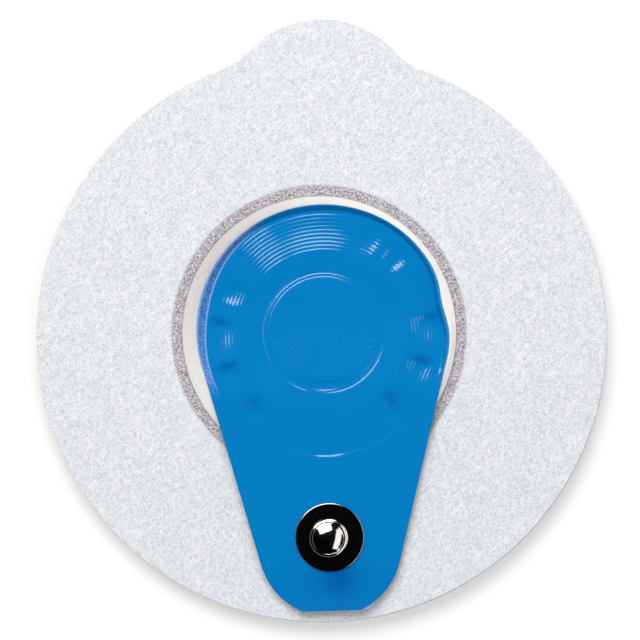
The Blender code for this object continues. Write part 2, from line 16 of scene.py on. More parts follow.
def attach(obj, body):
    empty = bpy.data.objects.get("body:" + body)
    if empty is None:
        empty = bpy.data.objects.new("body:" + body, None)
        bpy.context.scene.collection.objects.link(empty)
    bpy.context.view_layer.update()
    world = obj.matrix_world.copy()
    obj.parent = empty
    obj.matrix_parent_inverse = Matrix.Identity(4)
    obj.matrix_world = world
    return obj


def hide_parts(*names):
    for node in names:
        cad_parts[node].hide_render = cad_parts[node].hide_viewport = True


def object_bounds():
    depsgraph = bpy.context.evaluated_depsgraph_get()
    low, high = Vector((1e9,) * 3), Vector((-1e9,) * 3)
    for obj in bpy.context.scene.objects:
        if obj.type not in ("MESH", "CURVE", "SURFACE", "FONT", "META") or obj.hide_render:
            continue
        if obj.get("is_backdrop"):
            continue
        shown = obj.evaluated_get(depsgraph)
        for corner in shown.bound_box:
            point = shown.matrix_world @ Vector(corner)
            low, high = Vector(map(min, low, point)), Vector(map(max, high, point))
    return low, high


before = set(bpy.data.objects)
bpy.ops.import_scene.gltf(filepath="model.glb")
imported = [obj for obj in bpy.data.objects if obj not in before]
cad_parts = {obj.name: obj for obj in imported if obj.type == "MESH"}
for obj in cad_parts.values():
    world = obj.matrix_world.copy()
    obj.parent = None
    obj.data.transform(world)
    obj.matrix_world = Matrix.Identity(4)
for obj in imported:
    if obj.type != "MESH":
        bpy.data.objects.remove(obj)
cad_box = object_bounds()
MM = 0.001
print("nodes:", sorted(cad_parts))
print("size in mm:", [round((high - low) / MM, 2) for low, high in zip(*cad_box)])

# %% [markdown]
# ## The camera
# The electrode is seen from straight above. A long lens keeps the disc round: the camera is far away
# compared with the stack's few millimetres, so high and low sheets shift very little against each
# other. The lens follows from the width of cloth that fills the frame.

# %% Place the camera
CLOTH_TOP = 2.62 * MM
VIEW_WIDTH = 76.35 * MM
VIEW_DISTANCE = 0.45
VIEW_CENTRE = (-0.19 * MM, 1.99 * MM)
FRAME_WIDTH = 36.0  # millimetres, as Blender's lens

lens = bpy.data.cameras.new("camera")
lens.sensor_width = FRAME_WIDTH
lens.lens = FRAME_WIDTH * VIEW_DISTANCE / VIEW_WIDTH
camera = bpy.data.objects.new("camera", lens)
camera.location = (*VIEW_CENTRE, CLOTH_TOP + VIEW_DISTANCE)
bpy.context.scene.collection.objects.link(camera)
bpy.context.scene.camera = camera
print("lens in mm:", round(lens.lens, 1))

# %% [markdown]
# ## Small helpers for materials
# A material is a net of nodes. `add_node` makes one node, sets its options and joins its sockets in
# a single call, so a material reads from top to bottom like a recipe. The next few make the kinds
# of node that come up most. `new_group` starts a node group with named sockets, for an effect that
# several finishes share.

# %% Make the node helpers
NUMBER = "NodeSocketFloat"
VECTOR = "NodeSocketVector"
MIX_LOW = 6  # the sockets for colours of a Mix node
MIX_HIGH = 7
MIX_RESULT = 2


def add_node(tree, kind, sockets=None, **options):
    """One shader node. A socket takes another node's socket or a plain value."""
    made = tree.nodes.new("ShaderNode" + kind)
    for option, value in options.items():
        setattr(made, option, value)
    for socket, value in (sockets or {}).items():
        if isinstance(value, bpy.types.NodeSocket):
            tree.links.new(value, made.inputs[socket])
        else:
            made.inputs[socket].default_value = value
    return made


def calculate(tree, operation, *values, **options):
    """The result of a Math node on one, two or three values."""
    sockets = dict(enumerate(values))
    return add_node(tree, "Math", sockets, operation=operation, **options).outputs[0]


def remap(tree, value, low, high, start=0.0, end=1.0, **options):
    """A value from one range, carried over to another."""
    sockets = {0: value, 1: low, 2: high, 3: start, 4: end}
    return add_node(tree, "MapRange", sockets, **options).outputs[0]


def read_mask(tree, name):
    """The values that a warp left on the corners of a mesh."""
    return add_node(tree, "Attribute", attribute_name=name).outputs["Fac"]


def new_group(name, takes, gives):
    """An empty node group, with the sockets of its input and output nodes."""
    tree = bpy.data.node_groups.new(name, "ShaderNodeTree")
    for title, kind, value in takes:
        socket = tree.interface.new_socket(title, in_out="INPUT", socket_type=kind)
        if value is not None:
            socket.default_value = value
    for title in gives:
        tree.interface.new_socket(title, in_out="OUTPUT", socket_type=NUMBER)
    inside = tree.nodes.new("NodeGroupInput").outputs
    outside = tree.nodes.new("NodeGroupOutput").inputs
    return tree, inside, outside


def add_group(tree, group, sockets):
    """A group placed in a material, with its own values."""
    return add_node(tree, "Group", sockets, node_tree=group)


def new_finish(name, **sockets):
    """A material with its Principled shader, its constant values set on the shader itself."""
    finish = bpy.data.materials.new(name)
    finish.use_nodes = True
    shader = finish.node_tree.nodes["Principled BSDF"]
    for socket, value in sockets.items():
        shader.inputs[socket.replace("_", " ")].default_value = value
    place = add_node(finish.node_tree, "TexCoord").outputs["Object"]
    return finish, finish.node_tree, shader, place


def blend_colours(tree, share, low, high):
    """A colour between two others."""
    mixed = add_node(tree, "Mix", data_type="RGBA")
    tree.links.new(share, mixed.inputs[0])
    for socket, colour in ((mixed.inputs[MIX_LOW], low), (mixed.inputs[MIX_HIGH], high)):
        if isinstance(colour, bpy.types.NodeSocket):
            tree.links.new(colour, socket)
        else:
            socket.default_value = (*colour, 1.0)
    return mixed.outputs[MIX_RESULT]


def add_bump(tree, shader, height, distance, strength=1.0):
    """Fine relief, from a height between 0 and 1."""
    bump = add_node(tree, "Bump", {"Height": height, "Distance": distance, "Strength": strength})
    tree.links.new(bump.outputs["Normal"], shader.inputs["Normal"])


print("node helpers are ready")

# %% [markdown]
# ## Two shared surface effects
# Nonwoven cloth is a mat of fibres that lie in all directions. A noise texture crosses its middle
# value along thin wandering lines, and those lines look like fibres: four noises, each stretched in
# its own direction, make the mat. Moulded and pressed plastic needs a plain fine grain instead, so
# that is a second group.

# %% Build the fibre mat group
FIBRE_LAYERS = (  # turn in degrees, stretch along the fibres, fineness
    (20.0, 5.0, 1.0),
    (75.0, 4.0, 1.3),
    (130.0, 5.0, 0.8),
    (165.0, 3.0, 1.7),
)

fibre_mat, mat_in, mat_out = new_group(
    "fibre mat",
    [("Vector", VECTOR, None), ("Scale", NUMBER, 2000.0), ("Width", NUMBER, 0.05)],
    ["Fibre", "Clump"],
)
strongest = None
for turn, stretch, fineness in FIBRE_LAYERS:
    laid = add_node(
        fibre_mat,
        "Mapping",
        {
            "Vector": mat_in["Vector"],
            "Location": (0.001 * turn, 0.002 * fineness, 0.0),
            "Rotation": (0.0, 0.0, math.radians(turn)),
            "Scale": (1.0, stretch, 1.0),
        },
        vector_type="TEXTURE",
    )
    finer = calculate(fibre_mat, "MULTIPLY", mat_in["Scale"], fineness)
    threads = add_node(
        fibre_mat,
        "TexNoise",
        {"Vector": laid.outputs[0], "Scale": finer, "Detail": 1.0, "Distortion": 0.5},
    )
    level = calculate(fibre_mat, "SUBTRACT", threads.outputs[0], 0.5)
    away = calculate(fibre_mat, "ABSOLUTE", level)
    line = remap(
        fibre_mat, away, 0.0, mat_in["Width"], 1.0, 0.0, interpolation_type="SMOOTHSTEP"
    )
    if strongest is None:
        strongest = line
    else:
        strongest = calculate(fibre_mat, "MAXIMUM", strongest, line)
clumps = add_node(
    fibre_mat,
    "TexNoise",
    {"Vector": mat_in["Vector"], "Scale": mat_in["Scale"], "Detail": 3.0, "Roughness": 0.65},
)
fibre_mat.links.new(strongest, mat_out["Fibre"])
fibre_mat.links.new(clumps.outputs[0], mat_out["Clump"])
print("fibre mat layers:", len(FIBRE_LAYERS))

# %% Build the fine grain group
fine_grain, grain_in, grain_out = new_group(
    "fine grain",
    [("Vector", VECTOR, None), ("Scale", NUMBER, 3000.0), ("Contrast", NUMBER, 1.0)],
    ["Grain", "Patch"],
)
grain = add_node(
    fine_grain,
    "TexNoise",
    {"Vector": grain_in["Vector"], "Scale": grain_in["Scale"], "Detail": 2.0, "Roughness": 0.6},
)
swing = calculate(fine_grain, "SUBTRACT", grain.outputs[0], 0.5)
contrast = grain_in["Contrast"]
scaled = calculate(fine_grain, "MULTIPLY_ADD", swing, contrast, 0.5, use_clamp=True)
coarser = calculate(fine_grain, "MULTIPLY", grain_in["Scale"], 0.05)
patch = add_node(
    fine_grain,
    "TexNoise",
    {"Vector": grain_in["Vector"], "Scale": coarser, "Detail": 1.0},
)
fine_grain.links.new(scaled, grain_out["Grain"])
fine_grain.links.new(patch.outputs[0], grain_out["Patch"])
print("fine grain group:", fine_grain.name)

# %% [markdown]
# ## Small helpers for meshes
# Nearly every sheet here is round, so nearly every piece starts as a line of points that is spun
# round the Z axis. A warp then moves each point to its real place, which lets one clean spun mesh
# follow a tab, a dent or an off-centre ring. `rounded` gives a section soft corners first.

# %% Make the mesh helpers
def smooth(share):
    """Goes from 0 to 1 with level ends."""
    share = min(max(share, 0.0), 1.0)
    return share * share * (3.0 - 2.0 * share)


def bell(angle, centre, spread):
    """1 where an angle in radians is at a centre in degrees, and falling off on both sides."""
    away = (math.degrees(angle) - centre + 180.0) % 360.0 - 180.0
    return math.exp(-0.5 * (away / spread) ** 2)


def polar(centre, radius, angle, height=0.0):
    """The point at a radius and an angle in radians round a centre."""
    return centre + Vector((radius * math.cos(angle), radius * math.sin(angle), height))


def rounded(corners, closed=False, parts=4):
    """A section of (radius, height, fillet) corners, in mm, as points with rounded corners."""
    points = []
    for i, (radius, height, fillet) in enumerate(corners):
        here = Vector((radius, height))
        ends = 0 < i < len(corners) - 1
        if fillet == 0.0 or not (ends or closed):
            points.append(here * MM)
            continue
        before = Vector(corners[i - 1][:2])
        after = Vector(corners[(i + 1) % len(corners)][:2])
        back = (before - here).normalized() * min(fillet, (before - here).length * 0.48)
        on = (after - here).normalized() * min(fillet, (after - here).length * 0.48)
        for step in range(parts + 1):
            share = step / parts
            near = (here + back).lerp(here, share)
            far = here.lerp(here + on, share)
            points.append(near.lerp(far, share) * MM)
    return points


def spin(section, sides, closed=False):
    """A bmesh with a section of (radius, height) points turned round the Z axis."""
    bm = bmesh.new()
    corners = [bm.verts.new((point[0], 0.0, point[1])) for point in section]
    edges = [bm.edges.new(pair) for pair in zip(corners, corners[1:])]
    if closed:
        edges.append(bm.edges.new((corners[-1], corners[0])))
    bmesh.ops.spin(
        bm,
        geom=corners + edges,
        cent=(0.0, 0.0, 0.0),
        axis=(0.0, 0.0, 1.0),
        angle=math.tau,
        steps=sides,
        use_merge=True,
    )
    bmesh.ops.remove_doubles(bm, verts=bm.verts, dist=0.001 * MM)
    bmesh.ops.recalc_face_normals(bm, faces=bm.faces)
    return bm


def thicken(bm, thickness):
    """Makes an open sheet a closed one. thickness is a function of a corner."""
    extruded = bmesh.ops.extrude_face_region(bm, geom=bm.faces[:], use_keep_orig=True)["geom"]
    for corner in extruded:
        if isinstance(corner, bmesh.types.BMVert):
            corner.co.z -= thickness(corner)
    bmesh.ops.recalc_face_normals(bm, faces=bm.faces)


def piece(bm, name, finish, replaced=(), sharp=40.0):
    """Turns a bmesh into a shaded object that rides on the electrode's one body."""
    mesh = bpy.data.meshes.new(name)
    bm.to_mesh(mesh)
    bm.free()
    mesh.shade_smooth()
    mesh.set_sharp_from_angle(angle=math.radians(sharp))
    mesh.materials.append(finish)
    made = bpy.data.objects.new(name, mesh)
    bpy.context.scene.collection.objects.link(made)
    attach(made, "root")
    if replaced:
        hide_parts(*replaced)
    triangles = sum(len(face.vertices) - 2 for face in mesh.polygons)
    print(name, "has", triangles, "triangles")
    return made


print("mesh helpers are ready")

# %% [markdown]
# ## Where the rings lie
# On the real electrode the rings are laid down a little off the disc's centre, so each has a centre
# of its own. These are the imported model's places, written once here for all the pieces.

# %% Set the places
WELL_CENTRE = Vector((0.29 * MM, 0.32 * MM, 0.0))
SEAT_CENTRE = WELL_CENTRE + Vector((0.0, 0.2 * MM, 0.0))
RIM_CENTRE = Vector((0.22 * MM, 0.74 * MM, 0.0))
WELD_CENTRE = Vector((-0.28 * MM, 0.43 * MM, 0.0))
RIM_RADIUS = 15.08 * MM
RING_RADIUS = 16.35 * MM
WELD_WIDTH = 1.05 * MM
RIM_LEVEL = 3.51 * MM
TONGUE_LEVEL = 3.69 * MM
FLOOR_LEVEL = 2.81 * MM
TONGUE_ANGLE = math.radians(1.75 - 90.0)
TONGUE_AXIS = Vector((math.cos(TONGUE_ANGLE), math.sin(TONGUE_ANGLE), 0.0))
TONGUE_SIDE = Vector((-TONGUE_AXIS.y, TONGUE_AXIS.x, 0.0))
SNAP_CENTRE = RIM_CENTRE + TONGUE_AXIS * (RIM_RADIUS + 9.55 * MM)
WALL_RUN = 0.46 * MM
FLARES = (  # angle, extra reach and spread, with angles in degrees
    (15.0, 0.3 * MM, 24.0),
    (97.0, 0.24 * MM, 20.0),
    (170.0, 0.6 * MM, 22.0),
    (272.0, -0.22 * MM, 6.0),
)
DENTS = (  # angle, depth and spread
    (14.0, 0.58 * MM, 7.4),
    (34.0, 0.03 * MM, 8.0),
    (96.0, 0.1 * MM, 26.0),
)


def circle_reach(angle):
    """Distance from the well's centre to the rim's circle."""
    offset = RIM_CENTRE - WELL_CENTRE
    along = offset.x * math.cos(angle) + offset.y * math.sin(angle)
    return along + math.sqrt(RIM_RADIUS**2 - offset.length_squared + along**2)


def dent(angle):
    """How far the rim is pushed in from its circle."""
    return sum(depth * bell(angle, at, spread) for at, depth, spread in DENTS)


def wall_run(angle):
    """How far the cover's wall reaches inwards from the rim."""
    return WALL_RUN + sum(extra * bell(angle, at, spread) for at, extra, spread in FLARES)


print("snap centre in mm:", [round(value / MM, 2) for value in SNAP_CENTRE])

# %% [markdown]
# ## The nonwoven tape disc
# The disc is die-cut from soft white nonwoven. Its outline is a circle with a lift tab, blended by
# two fillets, so the distance from the centre to the edge is one function of the angle. A spun
# sheet is warped to that function. Round the hole the cloth is heat-welded to the ring: pressed thin
# and a little melted, which turns it grey. The loft between the fibres is real relief here, a
# hundredth of a millimetre or two, with the finer fibres left to the material.

# %% Warp the tape disc
DISC_RADIUS = 34.0 * MM
TAB_RADIUS = 11.8 * MM
TAB_CENTRE = Vector((0.0, 26.05 * MM, 0.0))
TAB_FILLET = 7.0 * MM
TAPE_THICK = 0.35 * MM
WELD_TOP = 2.53 * MM
WELD_THICK = 0.12 * MM
HOLE_RADIUS = RING_RADIUS + 0.05 * MM
WELD_END = RING_RADIUS + WELD_WIDTH + 0.05 * MM
DISC_SIDES = 336
WELD_ROWS = 6
CLOTH_ROWS = 52
LOFTS = ((0.9 * MM, 0.012 * MM), (6.0 * MM, 0.02 * MM))  # size and height
LOFT_FADE = 0.02  # share of the cloth's width, at its inner and at its outer edge
WELD_GRAIN = 0.25 * MM
WELD_RELIEF = 0.012 * MM
EDGE_DROOP = 0.02 * MM
DROOP_START = 1.998


def reach_to_edge(angle):
    """Distance from the disc's centre to its die-cut edge."""
    away = Vector((abs(math.cos(angle)), math.sin(angle), 0.0))
    far = DISC_RADIUS + TAB_FILLET
    near = TAB_RADIUS + TAB_FILLET
    lean = math.acos((far**2 + TAB_CENTRE.y**2 - near**2) / (2.0 * far * TAB_CENTRE.y))
    fillet = Vector((far * math.sin(lean), far * math.cos(lean), 0.0))
    meeting = TAB_CENTRE.lerp(fillet, TAB_RADIUS / near)
    from_tab = math.atan2(away.x, away.y)
    if from_tab > lean:
        return DISC_RADIUS
    if from_tab > math.atan2(meeting.x, meeting.y):
        along = fillet.dot(away)
        return along - math.sqrt(along**2 - far**2 + TAB_FILLET**2)
    along = TAB_CENTRE.dot(away)
    return along + math.sqrt(along**2 - TAB_CENTRE.length_squared + TAB_RADIUS**2)


rows = [i / WELD_ROWS for i in range(WELD_ROWS + 1)]
rows += [1.0 + smooth(0.12 + 0.88 * i / 4) * 0.03 for i in range(1, 5)]
rows += [1.03 + 0.965 * i / CLOTH_ROWS for i in range(1, CLOTH_ROWS + 1)] + [1.9985, 2.0]
bm = spin([(row * MM + MM, 0.0) for row in rows], DISC_SIDES)
welded = bm.verts.layers.float.new("weld")
for corner in bm.verts:
    row = corner.co.xy.length / MM - 1.0
    angle = math.atan2(corner.co.y, corner.co.x)
    weld_edge = HOLE_RADIUS + (WELD_END - HOLE_RADIUS) * min(row, 1.0)
    place = polar(WELD_CENTRE, weld_edge, angle)
    outward = max(row - 1.0, 0.0)
    place = place.lerp(polar(Vector(), reach_to_edge(angle), angle), outward)
    loft = sum(noise.noise(place / size) * height for size, height in LOFTS)
    pressed = 1.0 - smooth(outward / LOFT_FADE)
    droop = smooth((row - DROOP_START) / (2.0 - DROOP_START)) * EDGE_DROOP
    place.z = CLOTH_TOP - droop + loft * (1.0 - pressed) * smooth((2.0 - row) / LOFT_FADE)
    melt = noise.noise(place / WELD_GRAIN) * WELD_RELIEF
    place.z += (WELD_TOP - CLOTH_TOP + melt) * pressed
    corner[welded] = pressed
    corner.co = place
thicken(bm, lambda corner: TAPE_THICK + (WELD_THICK - TAPE_THICK) * corner[welded])
print("edge at the tab in mm:", round(reach_to_edge(math.pi / 2.0) / MM, 2))

# %% [markdown]
# ## The finish of the cloth
# The cloth is white with a cool cast that drifts from bluish to greenish over a few millimetres.
# Fibres show as fine light and dark threads, so the same mat drives a small change of colour and the
# bump. On the weld the colour goes to a grey-brown speckle, and the mask for that comes from the
# attribute that the warp left on the mesh.

# %% Mix the cloth finish
cloth, tree, shader, place = new_finish("nonwoven cloth", Roughness=0.9, Specular_IOR_Level=0.2)
mat = add_group(tree, fibre_mat, {"Vector": place, "Scale": 4100.0, "Width": 0.065})
drift = add_node(tree, "TexNoise", {"Vector": place, "Scale": 110.0, "Detail": 2.0})
drift_share = remap(tree, drift.outputs[0], 0.35, 0.65)
ground = blend_colours(tree, drift_share, (0.687, 0.733, 0.85), (0.702, 0.76, 0.82))
clump_share = remap(tree, mat.outputs["Clump"], 0.33, 0.56)
shaded = blend_colours(tree, clump_share, (0.57, 0.59, 0.64), ground)
fibre_share = calculate(tree, "MULTIPLY", mat.outputs["Fibre"], 0.85)
white = blend_colours(tree, fibre_share, shaded, (0.97, 0.98, 1.0))
speckle = add_node(
    tree,
    "TexNoise",
    {"Vector": place, "Scale": 4300.0, "Detail": 2.0, "Roughness": 0.7, "Distortion": 0.6},
)
speckle_share = remap(tree, speckle.outputs[0], 0.37, 0.63)
melted = blend_colours(tree, speckle_share, (0.22, 0.195, 0.215), (0.81, 0.765, 0.825))
cloth_colour = blend_colours(tree, read_mask(tree, "weld"), white, melted)
tree.links.new(cloth_colour, shader.inputs["Base Color"])
relief = calculate(tree, "MULTIPLY_ADD", mat.outputs["Clump"], 0.6, fibre_share)
add_bump(tree, shader, relief, 0.05 * MM, 0.6)
disc = piece(bm, "nonwoven_disc", cloth, ["backing_disc"], sharp=60.0)

# %% [markdown]
# ## The cream ring
# The moulded ring holds the cover. What shows of it is a narrow band that slopes up from the weld to
# the blue rim. Its colour carries painted shade: greyer on the upper left, and greyer still there
# next to the film. It could be two circles bridged together. A spun section with rounded corners
# gives the band its soft shoulder in one go, and a warp slides its outside and its inside onto their
# own centres. Inside, the cone follows the wall of the cover, which is flared on the left, so that
# the ring never shows through it.

# %% Turn the cream ring
RING_CREST = 15.13
CONE_FOOT = 14.13
RING_SECTION = (
    (17.4, 2.27, 0.0),
    (17.4, 2.39, 0.0),
    (16.35, 2.39, 0.0),
    (16.35, 2.86, 0.12),
    (15.9, 3.1, 0.3),
    (15.35, 3.33, 0.12),
    (RING_CREST, 3.37, 0.02),
    (CONE_FOOT, 2.51, 0.0),
    (CONE_FOOT, 2.27, 0.0),
)
SHADE_START = 15.2 * MM
SHADE_RUN = 0.7 * MM
SHADED_LEFT_ANGLE = 138.0
SHADED_LEFT_SPREAD = 38.0
RING_LAP = 0.05 * MM
bm = spin(rounded(RING_SECTION, closed=True), 240, closed=True)
# Painted shade: the band darkens next to the film and on its upper left side.
shaded_side = bm.verts.layers.float.new("inner")
shaded_left_side = bm.verts.layers.float.new("left")
for corner in bm.verts:
    radius = corner.co.xy.length
    angle = math.atan2(corner.co.y, corner.co.x)
    corner[shaded_side] = 1.0 - smooth((radius - SHADE_START) / SHADE_RUN)
    corner[shaded_left_side] = bell(angle, SHADED_LEFT_ANGLE, SHADED_LEFT_SPREAD)
    if radius < RING_CREST * MM:
        into_well = (RING_CREST * MM - radius) / ((RING_CREST - CONE_FOOT) * MM)
        reach = circle_reach(angle) - dent(angle) + RING_LAP - into_well * wall_run(angle)
        corner.co = polar(WELL_CENTRE, reach, angle, corner.co.z)
    else:
        outside = smooth((radius - RING_CREST * MM) / (RING_RADIUS - RING_CREST * MM))
        radius -= dent(angle) * (1.0 - outside)
        corner.co = polar(RIM_CENTRE.lerp(WELD_CENTRE, outside), radius, angle, corner.co.z)
cream, tree, shader, place = new_finish("cream plastic", Roughness=0.55)
worn = add_group(tree, fine_grain, {"Vector": place, "Scale": 3200.0, "Contrast": 1.6})
# The lit cream, and painted shade on the upper left that is deeper next to the film.
bright = blend_colours(tree, worn.outputs["Grain"], (0.88, 0.89, 0.86), (0.95, 0.95, 0.93))
shaded_cream = blend_colours(tree, worn.outputs["Grain"], (0.565, 0.55, 0.53), (0.64, 0.62, 0.6))
deeper_shaded_cream = blend_colours(tree, worn.outputs["Grain"], (0.5, 0.475, 0.5), (0.58, 0.555, 0.59))
shaded_left_colour = blend_colours(tree, read_mask(tree, "inner"), shaded_cream, deeper_shaded_cream)
cream_colour = blend_colours(tree, read_mask(tree, "left"), bright, shaded_left_colour)
tree.links.new(cream_colour, shader.inputs["Base Color"])
add_bump(tree, shader, worn.outputs["Grain"], 0.02 * MM, 0.4)
piece(bm, "cream_ring", cream, ["support_ring"])

# %% [markdown]
# ## The blue cover
# The cover is one thin film, formed over a tool. From the middle out it has a flat seat over the
# sensor, a step and a groove, a plain band, ten fine rings, and a wall up to the rim. Pressing has
# left it buckled: shallow valleys run across the rings, and on the right the rim is pushed in. The
# height of the film is worked out as one function, and a spun sheet with a row for every bend of the
# section is warped to it.

# %% Describe the section of the cover
SEAT_SECTION = (
    (0.0, 0.1),
    (6.57, 0.1),
    (6.73, 0.06),
    (6.96, 0.06),
    (7.12, 0.015),
    (7.16, 0.015),
    (7.34, 0.06),
    (9.82, 0.15),
)
STEP_START = SEAT_SECTION[1]
STEP_END = SEAT_SECTION[-2]
RIDGE_START = 9.82 * MM
RIDGE_COUNT = 10
RIDGE_PITCH = 0.45 * MM
RIDGE_HEIGHT = 0.036 * MM
RIDGE_LOWEST = 0.38
FOOT_RADIUS = RIDGE_START + RIDGE_COUNT * RIDGE_PITCH + 0.3 * MM
ZONE_FALL = 0.15 * MM
BUCKLES = (  # angle, depth, and how far each side reaches, in degrees
    (7.0, 0.24 * MM, 10.0, 3.0),
    (48.0, 0.2 * MM, 6.0, 5.0),
    (65.0, 0.17 * MM, 5.5, 5.0),
    (154.5, 0.2 * MM, 3.6, 6.5),
    (176.5, 0.18 * MM, 3.0, 12.0),
    (201.5, 0.18 * MM, 3.0, 12.0),
    (226.0, 0.17 * MM, 3.0, 10.0),
    (313.0, 0.19 * MM, 9.0, 3.0),
    (342.0, 0.21 * MM, 10.0, 3.0),
)
GENTLE_REACH = 8.0
PROUD_RINGS = ((95.0, 13.0), (125.0, 7.5))  # angle and spread of where the rings stand higher
TOP_SAG = 0.1 * MM
TOP_SAG_ANGLE = 94.0
TOP_SAG_SPREAD = 15.0
RISE_START = 0.28
RISE_RUN = 0.46
BEND = 0.14  # share of a wall that goes to each of its two bends
LIP_SHARE = 0.1
LIP_FALL = 0.1 * MM
LIP_ANGLE = 16.0
LIP_SPREAD = 20.0
LIP_WIDENING = 0.35
BACKING_LAP = 2.9 * MM
BACKING_EDGE = RIM_CENTRE + TONGUE_AXIS * (RIM_RADIUS - BACKING_LAP)
RECESS_STEP = 0.055 * MM
SEAT_FADES = ((12.0, 0.65, 33.0), (265.0, 0.85, 15.0))
SEAT_DIP = 0.11 * MM
DIP_START = 5.75
DIP_END = 6.15
DIP_ANGLE = 268.0
DIP_SPREAD = 18.0
LIFT_START = -4.6 * MM
LIFT_END = 9.8 * MM


def rim_reach(angle):
    """Distance from the well's centre to the rim, dents included."""
    return circle_reach(angle) - dent(angle)


def edge_level(angle):
    """Height of the rim, which rises where the tongue leaves and falls a little on the right."""
    rise = smooth((-math.sin(angle) - RISE_START) / RISE_RUN)
    fall = LIP_FALL * bell(angle, LIP_ANGLE, LIP_SPREAD)
    return RIM_LEVEL + (TONGUE_LEVEL - RIM_LEVEL) * rise - fall


def past_backing_edge(point):
    """Distance past the lower film's straight edge, towards the tongue's tip."""
    return (point - BACKING_EDGE).dot(TONGUE_AXIS)


def floor_height(point):
    """Height of the well's floor, which lifts towards the tongue."""
    rise = TONGUE_LEVEL - RECESS_STEP - FLOOR_LEVEL
    along = (point - WELL_CENTRE).dot(TONGUE_AXIS)
    return FLOOR_LEVEL + rise * smooth((along - LIFT_START) / (LIFT_END - LIFT_START))


def seat_height(radius, angle):
    """Height above the floor of the seat, its step, its groove and its dip on the tongue's side."""
    for (near, low), (far, high) in zip(SEAT_SECTION, SEAT_SECTION[1:]):
        if radius <= far * MM:
            height = low + (high - low) * smooth((radius / MM - near) / (far - near))
            across = (radius / MM - STEP_START[0]) / (STEP_END[0] - STEP_START[0])
            if 0.0 < across < 1.0:
                straight = STEP_START[1] + (STEP_END[1] - STEP_START[1]) * across
                faded = sum(share * bell(angle, at, spread) for at, share, spread in SEAT_FADES)
                height += (straight - height) * faded
            dip = smooth((radius / MM - DIP_START) / (DIP_END - DIP_START))
            dip *= 1.0 - smooth((radius / MM - STEP_START[0]) / (STEP_END[0] - STEP_START[0]))
            return height * MM - SEAT_DIP * dip * bell(angle, DIP_ANGLE, DIP_SPREAD)
    return ZONE_FALL


def valley(angle, centre, before, after):
    """A valley across the rings: 1 at its centre, with steep short sides and gentle long ones."""
    away = (math.degrees(angle) - centre + 180.0) % 360.0 - 180.0
    reach = before if away < 0.0 else after
    return math.exp(-((away / reach) ** (2 if reach > GENTLE_REACH else 4)))


def ridge_height(blank, angle, point):
    """Height of the rings and the buckles across them, above the floor."""
    share = (blank - RIDGE_START) / (FOOT_RADIUS - RIDGE_START)
    turn = min((blank - RIDGE_START) / RIDGE_PITCH, RIDGE_COUNT)
    wave = 0.5 - 0.5 * math.cos(math.tau * turn)
    held = smooth(-past_backing_edge(point) / RIDGE_PITCH)
    proud = max(bell(angle, at, spread) for at, spread in PROUD_RINGS)
    held *= RIDGE_LOWEST + (1.0 - RIDGE_LOWEST) * proud
    dip = sum(depth * valley(angle, at, before, after) for at, depth, before, after in BUCKLES)
    dip += TOP_SAG * bell(angle, TOP_SAG_ANGLE, TOP_SAG_SPREAD)
    dip *= math.sin(math.pi * share) ** 2
    return RIDGE_HEIGHT * wave * held - dip + ZONE_FALL * (1.0 - share)


def ramp(share):
    """Goes from 0 to 1 in a straight slope with a short bend at each end."""
    share = min(max(share, 0.0), 1.0)
    if share > 0.5:
        return 1.0 - ramp(1.0 - share)
    if share < BEND:
        return share * share / (2.0 * BEND * (1.0 - BEND))
    return (share - BEND / 2.0) / (1.0 - BEND)


print("ridge zone in mm:", round(RIDGE_START / MM, 2), "to", round(FOOT_RADIUS / MM, 2))

# %% Press the rings into the film
FILM_SIDES = 320
FILM_THICK = 0.12 * MM
BEND_PARTS = 5
RIDGE_ROWS = 7
WALL_SHARES = (0.03, 0.06, 0.1, 0.14, 0.2, 0.32, 0.42, 0.5, 0.6, 0.7, 0.78, 0.84, 0.9, 0.95, 1.0)
SEAT_SHIFT_RUN = 2.22 * MM
WALL_WELD = (116.0, 212.0)  # from and to, in degrees
WALL_WELD_FADES = (16.0, 14.0)
FOOT_LINE_WIDTH = 0.06  # shares of the way up the wall
# A painted highlight along the top edge of the wall, on the left side.
EDGE_HIGHLIGHT_PLACE = 0.9
EDGE_HIGHLIGHT_WIDTH = 0.05
EDGE_HIGHLIGHT_SHARE = 0.7
GRAIN_END = 6.2 * MM
GRAIN_FADE = 0.2 * MM


def formed(blank, angle):
    """Where a point of the flat round blank lies on the formed film."""
    rim = rim_reach(angle)
    foot = rim - wall_run(angle)
    if blank <= RIDGE_START:
        off_centre = smooth((RIDGE_START - blank) / SEAT_SHIFT_RUN)
        point = polar(WELL_CENTRE.lerp(SEAT_CENTRE, off_centre), blank, angle)
        return point + Vector((0.0, 0.0, floor_height(point) + seat_height(blank, angle)))
    if blank <= FOOT_RADIUS:
        share = (blank - RIDGE_START) / (FOOT_RADIUS - RIDGE_START)
        point = polar(WELL_CENTRE, RIDGE_START + share * (foot - RIDGE_START), angle)
        return point + Vector((0.0, 0.0, floor_height(point) + ridge_height(blank, angle, point)))
    share = (blank - FOOT_RADIUS) / (RIM_RADIUS - FOOT_RADIUS)
    point = polar(WELL_CENTRE, foot + share * (rim - foot), angle)
    low = floor_height(point)
    flat_lip = bell(angle, LIP_ANGLE, LIP_SPREAD)
    lip = LIP_SHARE + LIP_WIDENING * flat_lip
    top = edge_level(angle) + LIP_FALL * flat_lip * (1.0 - smooth((share - 1.0 + lip) / lip))
    return point + Vector((0.0, 0.0, low + (top - low) * ramp(share / (1.0 - lip))))


def weld_share(angle):
    """1 on the left, where the cover's wall has its weld and the light painted on it, and 0
    elsewhere.
    """
    turned = math.degrees(angle) % 360.0
    risen = smooth((turned - WALL_WELD[0]) / WALL_WELD_FADES[0])
    return risen * smooth((WALL_WELD[1] - turned) / WALL_WELD_FADES[1])


